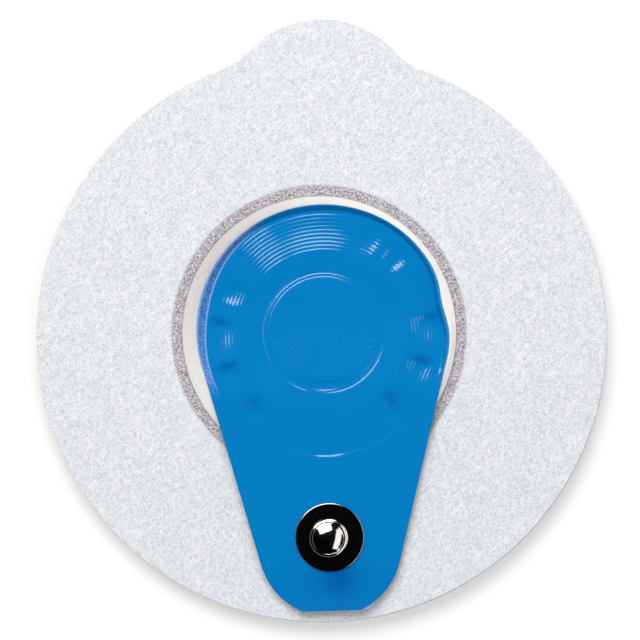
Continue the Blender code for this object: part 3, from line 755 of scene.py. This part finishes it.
radii = [0.0, 2.0 * MM, 4.0 * MM, 5.4 * MM]
radii += [(DIP_START + (DIP_END - DIP_START) * i / BEND_PARTS) * MM for i in range(BEND_PARTS + 1)]
for (near, _), (far, _) in zip(SEAT_SECTION[1:], SEAT_SECTION[2:]):
    radii += [(near + (far - near) * i / BEND_PARTS) * MM for i in range(BEND_PARTS)]
radii += [
    RIDGE_START + RIDGE_PITCH * i / RIDGE_ROWS for i in range(RIDGE_ROWS * RIDGE_COUNT + 1)
]
radii += [FOOT_RADIUS - 0.15 * MM, FOOT_RADIUS]
radii += [FOOT_RADIUS + (RIM_RADIUS - FOOT_RADIUS) * share for share in WALL_SHARES]
bm = spin([(radius, 0.0) for radius in radii], FILM_SIDES)
on_wall = bm.verts.layers.float.new("wall")
on_pale_lines = bm.verts.layers.float.new("pale_lines")
on_seat = bm.verts.layers.float.new("seat")
for corner in bm.verts:
    blank = corner.co.xy.length
    angle = math.atan2(corner.co.y, corner.co.x)
    up_wall = (blank - FOOT_RADIUS) / (RIM_RADIUS - FOOT_RADIUS)
    welded = weld_share(angle)
    corner[on_wall] = smooth(up_wall / FOOT_LINE_WIDTH) * welded
    # A pale line at the wall's foot, and a painted highlight near its top edge, on the left only.
    foot_line = math.exp(-((up_wall / FOOT_LINE_WIDTH) ** 2))
    edge_highlight = math.exp(-(((up_wall - EDGE_HIGHLIGHT_PLACE) / EDGE_HIGHLIGHT_WIDTH) ** 2))
    corner[on_pale_lines] = (foot_line + EDGE_HIGHLIGHT_SHARE * edge_highlight) * welded
    corner[on_seat] = 1.0 - smooth((blank - GRAIN_END) / GRAIN_FADE)
    corner.co = formed(blank, angle)
print("well corners:", len(bm.verts))

# %% [markdown]
# ## The tongue
# The tongue is the same film, so it has to grow out of the rim with no seam. Its outline runs from
# the rim along two straight sides to a rounded end that is cut off square. The outline is filled as
# one face between the rim and the snap's hole, and planes then slice it into narrow strips both
# ways, so that it can bend: its tip lifts, and the lower clamp of the snap shows through as a ring.

# %% Grow the tongue from the rim
TONGUE_END_RADIUS = 8.55 * MM
TONGUE_END_REACH = RIM_RADIUS + 10.45 * MM
TIP_TRIM = 0.73 * MM
TIP_REACH = TONGUE_END_REACH + TONGUE_END_RADIUS - TIP_TRIM
TIP_CURL = 0.4 * MM
TIP_CURL_LENGTH = 3.6 * MM
TONGUE_END = RIM_CENTRE + TONGUE_AXIS * TONGUE_END_REACH
TANGENT_TURN = math.acos((RIM_RADIUS - TONGUE_END_RADIUS) / TONGUE_END_REACH)
TIP_TURN = math.acos((TONGUE_END_RADIUS - TIP_TRIM) / TONGUE_END_RADIUS)
POST_HOLE = 1.33 * MM
SIDE_PARTS = 20
END_PARTS = 32
HOLE_SIDES = 48
SLICE = 0.45 * MM
CUT_TOLERANCE = 0.002 * MM
CLAMP_RING = 5.4 * MM
CLAMP_RISE = 0.02 * MM
CLAMP_WIDTH = 0.22 * MM
SAG_RING = 5.9 * MM
SAG_FALL = 0.05 * MM
SAG_WIDTH = 1.6 * MM
SAG_RUN = 3.0 * MM


def tongue_outline():
    """The tongue's edge, from the rim's right side round the tip to its left side."""
    halves = []
    for turn in (1.0, -1.0):
        normal = TONGUE_ANGLE + turn * TANGENT_TURN
        start = polar(RIM_CENTRE, RIM_RADIUS, normal)
        end = polar(TONGUE_END, TONGUE_END_RADIUS, normal)
        half = [start.lerp(end, i / SIDE_PARTS) for i in range(1, SIDE_PARTS)]
        stop = TONGUE_ANGLE + turn * TIP_TURN
        for i in range(END_PARTS + 1):
            half.append(
                polar(TONGUE_END, TONGUE_END_RADIUS, normal + (stop - normal) * i / END_PARTS)
            )
        halves.append(half)
    return halves[0] + halves[1][::-1]


def tongue_height(point):
    """Height of the tongue, with its lifted tip and the marks that the snap leaves in it."""
    angle = math.atan2(point.y - WELL_CENTRE.y, point.x - WELL_CENTRE.x)
    along = (point - RIM_CENTRE).dot(TONGUE_AXIS)
    curled = max(0.0, (along - TIP_REACH) / TIP_CURL_LENGTH + 1.0)
    from_snap = (point - SNAP_CENTRE).length
    clamp = CLAMP_RISE * math.exp(-(((from_snap - CLAMP_RING) / CLAMP_WIDTH) ** 2))
    sag = -SAG_FALL * math.exp(-(((from_snap - SAG_RING) / SAG_WIDTH) ** 2))
    sag *= smooth((along - TONGUE_END_REACH) / SAG_RUN)
    marks = (clamp + sag) * smooth(along / RIM_RADIUS - 1.0)
    return edge_level(angle) + TIP_CURL * curled**2 + marks


def from_tongue(corner):
    """Angle from the tongue's axis, round the rim's centre."""
    away = corner.co - RIM_CENTRE
    return math.atan2(away.dot(TONGUE_SIDE), away.dot(TONGUE_AXIS))


well_faces = set(bm.faces)
rim = sorted((corner for corner in bm.verts if corner.is_boundary), key=from_tongue)
facing = [corner for corner in rim if abs(from_tongue(corner)) < TANGENT_TURN]
right = next(corner for corner in rim if from_tongue(corner) >= TANGENT_TURN)
left = next(corner for corner in reversed(rim) if from_tongue(corner) <= -TANGENT_TURN)
outline = [right] + [bm.verts.new(point) for point in tongue_outline()] + [left] + facing
turns = [math.tau * i / HOLE_SIDES for i in range(HOLE_SIDES)]
hole = [bm.verts.new(polar(SNAP_CENTRE, POST_HOLE, turn)) for turn in turns]
edges = []
for loop in (outline, hole):
    for pair in zip(loop, loop[1:] + loop[:1]):
        edges.append(bm.edges.get(pair) or bm.edges.new(pair))
flat_rim = {corner: corner.co.z for corner in rim}
for corner in rim:
    corner.co.z = 0.0
bmesh.ops.triangle_fill(bm, use_beauty=True, edges=edges, normal=(0.0, 0.0, 1.0))
for axis, low, high in ((TONGUE_AXIS, 0.0, TIP_REACH), (TONGUE_SIDE, -RIM_RADIUS, RIM_RADIUS)):
    for i in range(1, int((high - low) / SLICE)):
        strip = [face for face in bm.faces if face not in well_faces]
        parts = {part for face in strip for part in (*face.verts, *face.edges)}
        bmesh.ops.bisect_plane(
            bm,
            geom=[*parts, *strip],
            dist=CUT_TOLERANCE,
            plane_co=RIM_CENTRE + axis * (low + SLICE * i),
            plane_no=axis,
        )
grown = {corner for face in bm.faces if face not in well_faces for corner in face.verts}
for corner in grown - set(rim):
    corner.co.z = tongue_height(corner.co)
for corner, height in flat_rim.items():
    corner.co.z = height
bmesh.ops.recalc_face_normals(bm, faces=bm.faces)
if sum(face.normal.z for face in bm.faces) < 0.0:
    bmesh.ops.reverse_faces(bm, faces=bm.faces)
print("film corners with the tongue:", len(bm.verts))

# %% [markdown]
# ## Thickness and a soft edge
# A film this thin still shows its edge. The sheet is extruded downwards, and the upper edge all the
# way round gets a small bevel: towards the light it shines as a fine pale line, and along the cut
# tip, turned away from the light, it is dark.

# %% Give the film its thickness
EDGE_BEVEL = 0.05 * MM
EDGE_TURN = math.radians(60.0)
HOLE_CLEARANCE = 2.0 * MM

bmesh.ops.triangulate(bm, faces=[face for face in bm.faces if len(face.verts) > 4])
thicken(bm, lambda corner: FILM_THICK)
cover_edges = []
for edge in bm.edges:
    if len(edge.link_faces) == 2 and edge.calc_face_angle(0.0) > EDGE_TURN:
        upward = max(face.normal.z for face in edge.link_faces)
        from_snap = (edge.verts[0].co.xy - SNAP_CENTRE.xy).length
        if upward > 0.5 and from_snap > HOLE_CLEARANCE:
            cover_edges.append(edge)
bmesh.ops.bevel(
    bm,
    geom=cover_edges,
    offset=EDGE_BEVEL,
    segments=2,
    profile=0.5,
    affect="EDGES",
    material=-1,
    clamp_overlap=True,
)
print("edges with a bevel:", len(cover_edges))

# %% [markdown]
# ## Darker shades in the film
# The film is darker below the stud, towards the cut tip, and on the sides of the buckles that are
# turned away from the light. Shape and light give only a part of that. The rest is painted shade: a
# value on each corner marks where it falls, and the finish darkens the blue there.

# %% Mark the darker shades
# Painted shade towards the tip, below the stud, and on the buckles' sides away from the light.
TIP_SHADE_LENGTH = 8.0 * MM
TIP_SHADE = 0.28
DARK_PLACE = SNAP_CENTRE + Vector((1.1 * MM, -5.0 * MM, 0.0))
DARK_SPREAD = 1.6 * MM
DARK_SHADE = 0.78
SHADED_SIDES = (  # angle and distance from the well's centre, spreads along both, and share
    (9.5, 13.2 * MM, 1.8, 0.7 * MM, 0.8),
    (173.2, 12.6 * MM, 1.8, 0.8 * MM, 0.7),
    (198.3, 12.2 * MM, 1.9, 0.9 * MM, 0.7),
    (224.3, 11.6 * MM, 3.6, 0.7 * MM, 0.4),
    (316.9, 10.9 * MM, 3.2, 0.7 * MM, 0.55),
    (345.4, 11.9 * MM, 1.9, 0.9 * MM, 0.7),
)
shade = bm.verts.layers.float.new("shade")
for corner in bm.verts:
    along = (corner.co - RIM_CENTRE).dot(TONGUE_AXIS)
    corner[shade] = TIP_SHADE * smooth((along - TIP_REACH + TIP_SHADE_LENGTH) / TIP_SHADE_LENGTH)
    nearness = (corner.co.xy - DARK_PLACE.xy).length / DARK_SPREAD
    corner[shade] += DARK_SHADE * math.exp(-0.5 * nearness * nearness)
    from_well = corner.co.xy - WELL_CENTRE.xy
    turned = math.atan2(from_well.y, from_well.x)
    for at, reach, turn, depth, share in SHADED_SIDES:
        outward = (from_well.length - reach) / depth
        corner[shade] += share * bell(turned, at, turn) * math.exp(-0.5 * outward * outward)
print("darkest shade:", round(max(corner[shade] for corner in bm.verts), 2))

# %% [markdown]
# ## The finish of the blue film
# The film is dyed through, with a satin gloss. Over the sensor it carries a very fine pebble grain
# from the tool, and on the wall's left side the weld has left a grain, with painted light on it:
# paler colour and bright specks. The grain group serves both. The attributes on the mesh say where
# each one shows, where a pale line runs at the wall's foot and a painted highlight along its top
# edge, and where the blue is darkened by painted shade.

# %% Mix the blue finish
blue, tree, shader, place = new_finish("blue film", Roughness=0.1, Specular_IOR_Level=0.65)
pebble = add_group(tree, fine_grain, {"Vector": place, "Scale": 4200.0, "Contrast": 1.5})
# The weld's real grain, painted paler and with bright specks as painted light.
weld_grain_and_glints = add_group(tree, fine_grain, {"Vector": place, "Scale": 4600.0, "Contrast": 6.0})
wall_mask = read_mask(tree, "wall")
dyed = blend_colours(tree, pebble.outputs["Patch"], (0.0005, 0.211, 0.564), (0.0005, 0.227, 0.598))
# Painted shade: the marked corners darken the blue.
body = blend_colours(tree, read_mask(tree, "shade"), dyed, (0.0005, 0.125, 0.45))
lit_weld_blue = blend_colours(tree, weld_grain_and_glints.outputs["Grain"], (0.006, 0.15, 0.52), (0.15, 0.37, 0.84))
wall_share = calculate(tree, "MULTIPLY", wall_mask, 0.85, use_clamp=True)
mixed_blue = blend_colours(tree, wall_share, body, lit_weld_blue)
# A pale line at the wall's foot, and a painted highlight along the wall's top edge.
pale_line_share = calculate(tree, "MULTIPLY", read_mask(tree, "pale_lines"), 0.75, use_clamp=True)
blue_colour = blend_colours(tree, pale_line_share, mixed_blue, (0.42, 0.55, 0.9))
tree.links.new(blue_colour, shader.inputs["Base Color"])
rough = remap(tree, wall_mask, 0.0, 1.0, 0.1, 0.4)
tree.links.new(rough, shader.inputs["Roughness"])
grain_share = calculate(tree, "MULTIPLY_ADD", read_mask(tree, "seat"), 0.85, 0.15)
grain_height = calculate(tree, "MULTIPLY", pebble.outputs["Grain"], grain_share)
add_bump(tree, shader, grain_height, 0.017 * MM)
piece(bm, "blue_cover", blue, ["bellows_cover"], sharp=50.0)

# %% [markdown]
# ## The snap stud
# The stud is drawn from thin sheet: a flat flange, a waist that the lead wire's clip grips, and a
# hollow head with a shallow dome on top. It is a body of revolution, so one section is spun. Its
# corners are rounded in the section itself, because a mirror finish shows every edge.

# %% Turn the snap stud
STUD_BASE = 3.71
STUD_SECTION = (
    (0.0, 2.68, 0.0),
    (1.3, 2.5, 0.3),
    (1.75, 2.0, 0.3),
    (1.33, 1.1, 0.3),
    (1.33, 0.0, 0.05),
    (4.1, 0.0, 0.05),
    (4.1, 0.26, 0.13),
    (2.0, 0.26, 0.3),
    (1.6, 0.7, 0.35),
    (1.6, 1.25, 0.3),
    (2.1, 1.7, 0.3),
    (2.2, 2.2, 0.12),
    (2.19, 2.44, 0.03),
    (2.16, 2.475, 0.015),
    (2.03, 2.52, 0.03),
    (1.88, 2.54, 0.02),
    (1.84, 2.515, 0.015),
)
DOME_TOP = 2.95
DOME_EDGE = (1.8, 2.53)
DOME_ROWS = 14
HEAD_LEAN = 0.18 * MM
LEAN_START = 0.3
LEAN_RUN = 2.3
sag = DOME_TOP - DOME_EDGE[1]
dome_radius = (DOME_EDGE[0] ** 2 + sag**2) / (2.0 * sag)
edge_turn = math.asin(DOME_EDGE[0] / dome_radius)
section = rounded(STUD_SECTION, parts=6)
for i in range(DOME_ROWS + 1):
    turn = edge_turn * (1.0 - i / DOME_ROWS)
    height = DOME_TOP - dome_radius * (1.0 - math.cos(turn))
    section.append(Vector((dome_radius * math.sin(turn), height)) * MM)
bm = spin(section, 160)
for corner in bm.verts:
    corner.co.x -= HEAD_LEAN * smooth((corner.co.z / MM - LEAN_START) / LEAN_RUN)
lift = Matrix.Translation(SNAP_CENTRE + Vector((0.0, 0.0, STUD_BASE * MM)))
bmesh.ops.transform(bm, matrix=lift, verts=bm.verts)
nickel, tree, shader, place = new_finish("bright nickel", Metallic=1.0, Roughness=0.08)
scuff = add_group(tree, fine_grain, {"Vector": place, "Scale": 6000.0, "Contrast": 2.5})
metal = blend_colours(tree, scuff.outputs["Patch"], (0.74, 0.71, 0.68), (0.82, 0.79, 0.76))
tree.links.new(metal, shader.inputs["Base Color"])
polish = remap(tree, scuff.outputs["Grain"], 0.2, 1.0, 0.05, 0.14)
tree.links.new(polish, shader.inputs["Roughness"])
add_bump(tree, shader, scuff.outputs["Grain"], 0.001 * MM)
piece(bm, "snap_head", nickel, ["snap_stud"], sharp=50.0)
print("dome radius in mm:", round(dome_radius, 2))

# %% [markdown]
# ## The release liner
# Until it is used, the electrode sits on a clear thermoformed sheet with a dome for the gel. From
# above only a hairline of it shows beyond the cloth, and from below it is the face that one sees.
# The sheet follows the cloth's outline, so it is warped with the same function.

# %% Warp the clear liner
LINER_SHIFT = Vector((0.1 * MM, -0.1 * MM, 0.0))
LINER_THICK = 0.25 * MM
SHEET_TOP = 2.25 * MM
DOME_DEPTH = 2.0 * MM
DOME_FOOT = 11.0 * MM
DOME_MOUTH = 12.2 * MM
DOME_PARTS = 14
liner_rows = [0.0, 5.0, 9.0, 10.6, 10.85]
liner_rows += [11.0 + 1.2 * i / DOME_PARTS for i in range(DOME_PARTS + 1)]
liner_rows += [12.5, 16.0, 22.0, 28.0, 33.0, 33.8, 34.0]
bm = spin([(row * MM, 0.0) for row in liner_rows], 240)
for corner in bm.verts:
    radius = corner.co.xy.length
    angle = math.atan2(corner.co.y, corner.co.x)
    rise = smooth((radius - DOME_FOOT) / (DOME_MOUTH - DOME_FOOT))
    outward = max(0.0, (radius - DOME_MOUTH) / (DISC_RADIUS - DOME_MOUTH))
    edge = reach_to_edge(angle)
    corner.co = polar(LINER_SHIFT * outward, radius + (edge - DISC_RADIUS) * outward, angle)
    corner.co.z = SHEET_TOP - DOME_DEPTH * (1.0 - rise)
thicken(bm, lambda corner: LINER_THICK)
clear, tree, shader, place = new_finish("clear liner", Roughness=0.12, Specular_IOR_Level=0.7)
haze = add_group(tree, fine_grain, {"Vector": place, "Scale": 900.0, "Contrast": 1.5})
tint = blend_colours(tree, haze.outputs["Patch"], (0.62, 0.7, 0.74), (0.7, 0.77, 0.8))
tree.links.new(tint, shader.inputs["Base Color"])
cloudy = remap(tree, haze.outputs["Grain"], 0.0, 1.0, 0.28, 0.38)
tree.links.new(cloudy, shader.inputs["Alpha"])
piece(bm, "liner_sheet", clear, ["release_liner"])

# %% [markdown]
# ## The gel sponge
# Under the sensor a small foam pad holds the wet gel. It gets a crowned shape and open pores. A cone
# with bevelled rims, subdivided and pushed about by noise, gives both.

# %% Shape the gel sponge
SPONGE_SECTION = (
    (0.0, 0.27, 0.0),
    (6.9, 0.3, 0.45),
    (6.98, 1.3, 0.5),
    (6.9, 2.36, 0.45),
    (0.0, 2.38, 0.0),
)
SPONGE_MIDDLE = 1.33 * MM
PIT_SIZE = 0.55 * MM
PIT_DEPTH = 0.12 * MM
bm = spin(rounded(SPONGE_SECTION, parts=5), 96)
bmesh.ops.subdivide_edges(
    bm,
    edges=[edge for edge in bm.edges if edge.calc_length() > 1.0 * MM],
    cuts=9,
    use_grid_fill=True,
)
for corner in bm.verts:
    pit = max(0.0, noise.noise(corner.co / PIT_SIZE)) * PIT_DEPTH
    inward = Vector((corner.co.x, corner.co.y, 3.0 * (corner.co.z - SPONGE_MIDDLE)))
    if inward.length > 0.0:
        corner.co -= inward.normalized() * pit
bmesh.ops.translate(bm, verts=bm.verts, vec=SEAT_CENTRE)
foam, tree, shader, place = new_finish("wet foam", Roughness=0.35, Specular_IOR_Level=0.6)
# Painted shade: the colour darkens in the pores.
pores = add_node(tree, "TexVoronoi", {"Vector": place, "Scale": 2400.0})
pore_share = remap(tree, pores.outputs["Distance"], 0.1, 0.7)
foam_colour = blend_colours(tree, pore_share, (0.56, 0.6, 0.57), (0.8, 0.83, 0.79))
tree.links.new(foam_colour, shader.inputs["Base Color"])
add_bump(tree, shader, pore_share, 0.04 * MM, 0.7)
sponge = piece(bm, "foam_pad", foam, ["gel_sponge"], sharp=80.0)

# %% [markdown]
# ## Finishes for the parts in between
# The lower film, the conductor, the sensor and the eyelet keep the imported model's shapes, because
# their plain flat forms are already right. Each gets the finish of what it is made of, with the
# grain group at another scale.

# %% Dress the inner sheets
INNER_FINISHES = {
    "tongue_backing": ("lower film", (0.5, 0.63, 0.74), (0.6, 0.72, 0.8), 0.35, 0.0, 2500.0),
    "lead_strip": ("carbon conductor", (0.02, 0.02, 0.024), (0.06, 0.06, 0.065), 0.6, 0.0, 4000.0),
    "sensor_disc": ("silver chloride", (0.24, 0.23, 0.25), (0.42, 0.4, 0.43), 0.5, 0.4, 4500.0),
    "snap_eyelet": ("eyelet nickel", (0.6, 0.57, 0.54), (0.74, 0.71, 0.68), 0.14, 1.0, 6000.0),
}
for node_name, (title, dark, light, roughness, metallic, scale) in INNER_FINISHES.items():
    finish, tree, shader, place = new_finish(title, Roughness=roughness, Metallic=metallic)
    grained = add_group(tree, fine_grain, {"Vector": place, "Scale": scale, "Contrast": 2.0})
    colour = blend_colours(tree, grained.outputs["Grain"], dark, light)
    tree.links.new(colour, shader.inputs["Base Color"])
    add_bump(tree, shader, grained.outputs["Grain"], 0.003 * MM)
    for material_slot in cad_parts[node_name].material_slots:
        material_slot.material = finish
    print(node_name, "wears", title)

# %% [markdown]
# ## The studio
# The photograph has one large soft light above the top edge, a smaller one on the right, and a dark
# ceiling round the camera, which is why the flat metal looks black. The floor is white. The world
# gives the plain overall level, and only mirror-like surfaces see its dark top.

# %% Lay the floor
FLOOR_HALF = 1.5
bm = bmesh.new()
bmesh.ops.create_grid(bm, x_segments=1, y_segments=1, size=FLOOR_HALF)
floor_mesh = bpy.data.meshes.new("floor")
bm.to_mesh(floor_mesh)
bm.free()
floor = bpy.data.objects.new("floor", floor_mesh)
bpy.context.scene.collection.objects.link(floor)
floor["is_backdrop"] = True
paper, tree, shader, place = new_finish("white paper", Roughness=0.95, Specular_IOR_Level=0.0)
mottle = add_node(tree, "TexNoise", {"Vector": place, "Scale": 60.0})
paper_colour = blend_colours(tree, mottle.outputs[0], (0.63, 0.63, 0.63), (0.64, 0.64, 0.635))
tree.links.new(paper_colour, shader.inputs["Base Color"])
rays = add_node(tree, "LightPath").outputs
direct = calculate(tree, "MAXIMUM", rays["Is Camera Ray"], rays["Is Glossy Ray"])
seen = calculate(tree, "MAXIMUM", direct, rays["Is Transmission Ray"])
glow = blend_colours(tree, seen, (0.0, 0.0, 0.0), (0.42, 0.42, 0.42))
tree.links.new(glow, shader.inputs["Emission Color"])
shader.inputs["Emission Strength"].default_value = 1.0
floor_mesh.materials.append(paper)
print("floor is", floor.dimensions.x, "m wide")

# %% Hang the lights
LIGHTS = (
    ("key light", 111.0, 55.0, 0.6, 0.46, 0.32, 2.72, (1.0, 0.99, 0.975)),
    ("side light", -12.0, 56.0, 0.6, 0.76, 0.2, 0.6, (1.0, 0.99, 0.975)),
)
for title, azimuth, elevation, distance, width, height, power, colour in LIGHTS:
    lamp = bpy.data.lights.new(title, "AREA")
    lamp.shape = "RECTANGLE"
    lamp.size = width
    lamp.size_y = height
    lamp.energy = power
    lamp.color = colour
    hung = bpy.data.objects.new(title, lamp)
    aim = Vector((0.0, 0.0, distance))
    aim.rotate(Matrix.Rotation(math.radians(90.0 - elevation), 3, "Y"))
    aim.rotate(Matrix.Rotation(math.radians(azimuth), 3, "Z"))
    hung.location = aim
    hung.rotation_euler = aim.to_track_quat("Z", "Y").to_euler()
    bpy.context.scene.collection.objects.link(hung)
    print(title, "at", [round(value, 2) for value in aim])

# %% Fill the world
WORLD_LEVEL = 0.36
HORIZON_LEVEL = 0.3
DARK_FROM = 0.25

world = bpy.data.worlds.new("studio")
bpy.context.scene.world = world
world.use_nodes = True
tree = world.node_tree
background = tree.nodes["Background"]
sky = add_node(tree, "TexCoord")
split = add_node(tree, "SeparateXYZ", {0: sky.outputs["Generated"]})
dark_top = remap(
    tree,
    split.outputs["Z"],
    0.0,
    DARK_FROM,
    HORIZON_LEVEL,
    0.0,
    interpolation_type="SMOOTHSTEP",
)
rays = add_node(tree, "LightPath").outputs
plain = add_node(tree, "Mix", {0: rays["Is Glossy Ray"], 2: WORLD_LEVEL, 3: dark_top})
seen = calculate(tree, "MAXIMUM", rays["Is Camera Ray"], rays["Is Transmission Ray"])
level = add_node(tree, "Mix", {0: seen, 2: plain.outputs[0], 3: 1.0})
tree.links.new(level.outputs[0], background.inputs["Strength"])
background.inputs["Color"].default_value = (1.0, 1.0, 1.0, 1.0)
bpy.context.scene.view_settings.view_transform = "Standard"
print("world strength follows the kind of ray")

# %% [markdown]
# ## Compare the size
# The dressed electrode has to stay the size of the imported model, so the growth of its box on each
# side is printed.

# %% Compare both boxes
dressed_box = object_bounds()
for low, high, cad_low, cad_high in zip(*dressed_box, *cad_box):
    print("grew by mm:", round((cad_low - low) / MM, 3), round((high - cad_high) / MM, 3))
